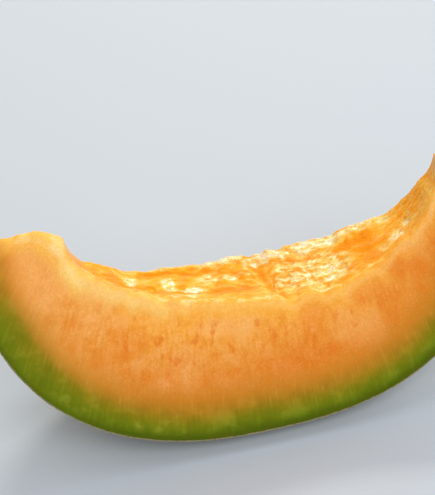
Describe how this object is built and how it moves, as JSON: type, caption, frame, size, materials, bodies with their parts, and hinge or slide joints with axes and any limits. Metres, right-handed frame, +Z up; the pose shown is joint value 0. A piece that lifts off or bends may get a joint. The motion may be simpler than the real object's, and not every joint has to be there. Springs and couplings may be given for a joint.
{
  "type": "yubari melon slice",
  "caption": "Crescent-shaped wedge of an orange-fleshed netted melon, cut lengthwise, seeds scooped out, resting on its rind.",
  "frame": {"origin": "middle of the slice's box, on the surface that it rests on", "axes": "+X along the melon's core line towards the blossom end, +Z up towards the ridge where the cut faces meet"},
  "size_m": [0.1552, 0.0556, 0.07],
  "materials": {
    "flesh": "wet cut fruit flesh, with a grey-green netted rind underneath"
  },
  "bodies": {
    "root": {"melon_slice": "flesh"}
  },
  "joints": []
}
